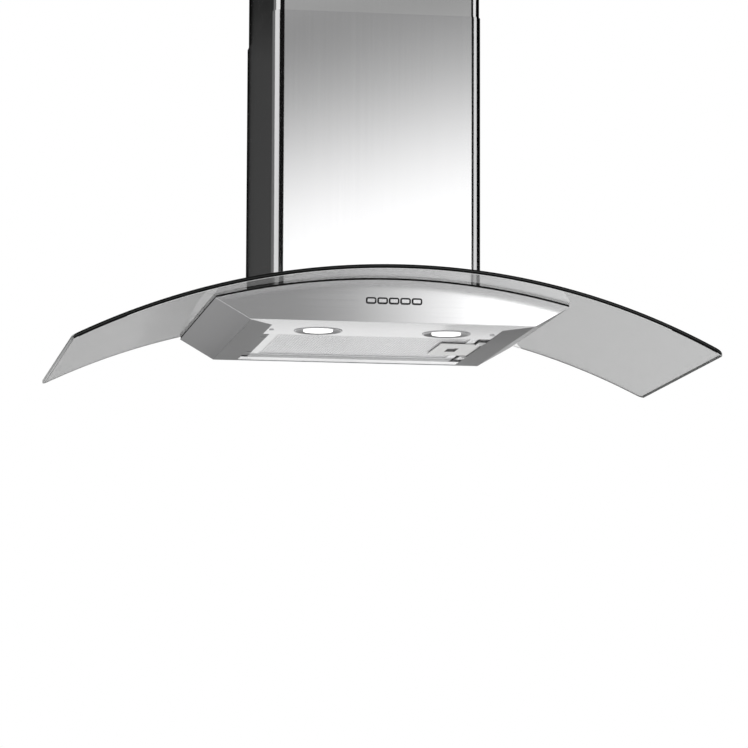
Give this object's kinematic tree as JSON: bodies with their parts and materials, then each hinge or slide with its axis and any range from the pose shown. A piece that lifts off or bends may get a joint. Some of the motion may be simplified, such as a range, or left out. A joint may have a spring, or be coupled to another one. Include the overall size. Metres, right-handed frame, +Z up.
{
  "type": "wall mount range hood",
  "caption": "Wall mount range hood: arched glass canopy over a shallow steel body with round lamps, push buttons and a hinged grease filter, and a telescopic steel chimney.",
  "frame": {"origin": "on the wall plane, at the middle of the hood's width and the height of the steel body's underside", "axes": "+X to the right as seen from the front, +Y into the wall, +Z up"},
  "size_m": [0.9, 0.514, 0.81],
  "materials": {
    "canopy_glass": "gloss",
    "brushed_steel": "satin",
    "galvanised_steel": "matte",
    "bright_steel": "gloss",
    "gasket_rubber": "matte",
    "motor_paint": "satin",
    "lamp_ring_metal": "satin",
    "lamp_lens_glass": "matte",
    "bulb_glass": "gloss",
    "reflector_aluminium": "polished",
    "socket_ceramic": "matte",
    "filter_aluminium": "satin",
    "filter_mesh_aluminium": "matte",
    "latch_plastic": "satin",
    "button_metal": "satin",
    "black_plastic": "matte",
    "grey_plastic": "matte",
    "cable_plastic": "satin"
  },
  "bodies": {
    "hood": {"glass_canopy": "canopy_glass", "glass_gasket": "gasket_rubber", "glass_clamps": "galvanised_steel", "front_fascia": "brushed_steel", "left_side_panel": "brushed_steel", "right_side_panel": "brushed_steel", "back_panel": "galvanised_steel", "rear_strip": "brushed_steel", "top_deck": "galvanised_steel", "lamp_panel": "brushed_steel", "lamp_panel_screws": "bright_steel", "left_lamp_ring": "lamp_ring_metal", "right_lamp_ring": "lamp_ring_metal", "lamp_lenses": "lamp_lens_glass", "lamp_reflectors": "reflector_aluminium", "lamp_bulbs": "bulb_glass", "lamp_sockets": "socket_ceramic", "lamp_driver": "black_plastic", "filter_hinge_pins": "bright_steel", "button_surround": "black_plastic", "switch_block": "black_plastic", "button_spring_1": "bright_steel", "button_spring_2": "bright_steel", "button_spring_3": "bright_steel", "button_spring_4": "bright_steel", "button_spring_5": "bright_steel", "blower_casing": "galvanised_steel", "casing_top": "galvanised_steel", "casing_screws": "bright_steel", "scroll_housing": "galvanised_steel", "scroll_cheeks": "galvanised_steel", "inlet_rings": "galvanised_steel", "motor": "motor_paint", "motor_bracket": "galvanised_steel", "capacitor": "filter_aluminium", "junction_box": "black_plastic", "junction_box_lid": "black_plastic", "wiring": "cable_plastic", "cable_gland": "black_plastic", "outlet_collar": "black_plastic", "damper_pin": "bright_steel", "lower_chimney": "brushed_steel"},
    "upper_chimney": {"upper_chimney": "brushed_steel", "chimney_bracket": "galvanised_steel", "chimney_screws": "bright_steel"},
    "impeller": {"impeller": "grey_plastic", "impeller_blades": "grey_plastic", "motor_shaft": "bright_steel"},
    "damper_front": {"damper_flap_front": "filter_aluminium"},
    "damper_rear": {"damper_flap_rear": "filter_aluminium"},
    "filter": {"filter_frame": "filter_aluminium", "filter_mesh": "filter_mesh_aluminium", "latch_housing": "black_plastic", "latch_spring": "bright_steel"},
    "filter_latch": {"latch_slider": "latch_plastic"},
    "button_1": {"button_1": "button_metal"},
    "button_2": {"button_2": "button_metal"},
    "button_3": {"button_3": "button_metal"},
    "button_4": {"button_4": "button_metal"},
    "button_5": {"button_5": "button_metal"}
  },
  "joints": [
    {"name": "chimney_slide", "type": "slide", "parent": "hood", "child": "upper_chimney", "axis": [0, 0, 1], "range_m": [-0.26, 0.1]},
    {"name": "fan_spin", "type": "hinge", "parent": "hood", "child": "impeller", "pos_m": [0, -0.11, 0.16101], "axis": [1, 0, 0], "continuous": true},
    {"name": "damper_front_hinge", "type": "hinge", "parent": "hood", "child": "damper_front", "pos_m": [0, -0.153, 0.32201], "axis": [-1, 0, 0], "range_deg": [0, 80]},
    {"name": "damper_rear_hinge", "type": "hinge", "parent": "hood", "child": "damper_rear", "pos_m": [0, -0.153, 0.32201], "axis": [1, 0, 0], "range_deg": [0, 80]},
    {"name": "filter_hinge", "type": "hinge", "parent": "hood", "child": "filter", "pos_m": [-0.158, -0.1625, 0.0052], "axis": [0, 1, 0], "range_deg": [0, 80]},
    {"name": "latch_slide", "type": "slide", "parent": "filter", "child": "filter_latch", "axis": [1, 0, 0], "range_m": [-0.006, 0.004], "stiffness_N_per_m": 150, "springref_m": 0.004, "deforming": ["latch_spring"]},
    {"name": "button_1_press", "type": "slide", "parent": "hood", "child": "button_1", "axis": [0, 1, 0], "range_m": [0, 0.002], "stiffness_N_per_m": 400, "deforming": ["button_spring_1"]},
    {"name": "button_2_press", "type": "slide", "parent": "hood", "child": "button_2", "axis": [0, 1, 0], "range_m": [0, 0.002], "stiffness_N_per_m": 400, "deforming": ["button_spring_2"]},
    {"name": "button_3_press", "type": "slide", "parent": "hood", "child": "button_3", "axis": [0, 1, 0], "range_m": [0, 0.002], "stiffness_N_per_m": 400, "deforming": ["button_spring_3"]},
    {"name": "button_4_press", "type": "slide", "parent": "hood", "child": "button_4", "axis": [0, 1, 0], "range_m": [0, 0.002], "stiffness_N_per_m": 400, "deforming": ["button_spring_4"]},
    {"name": "button_5_press", "type": "slide", "parent": "hood", "child": "button_5", "axis": [0, 1, 0], "range_m": [0, 0.002], "stiffness_N_per_m": 400, "deforming": ["button_spring_5"]}
  ]
}
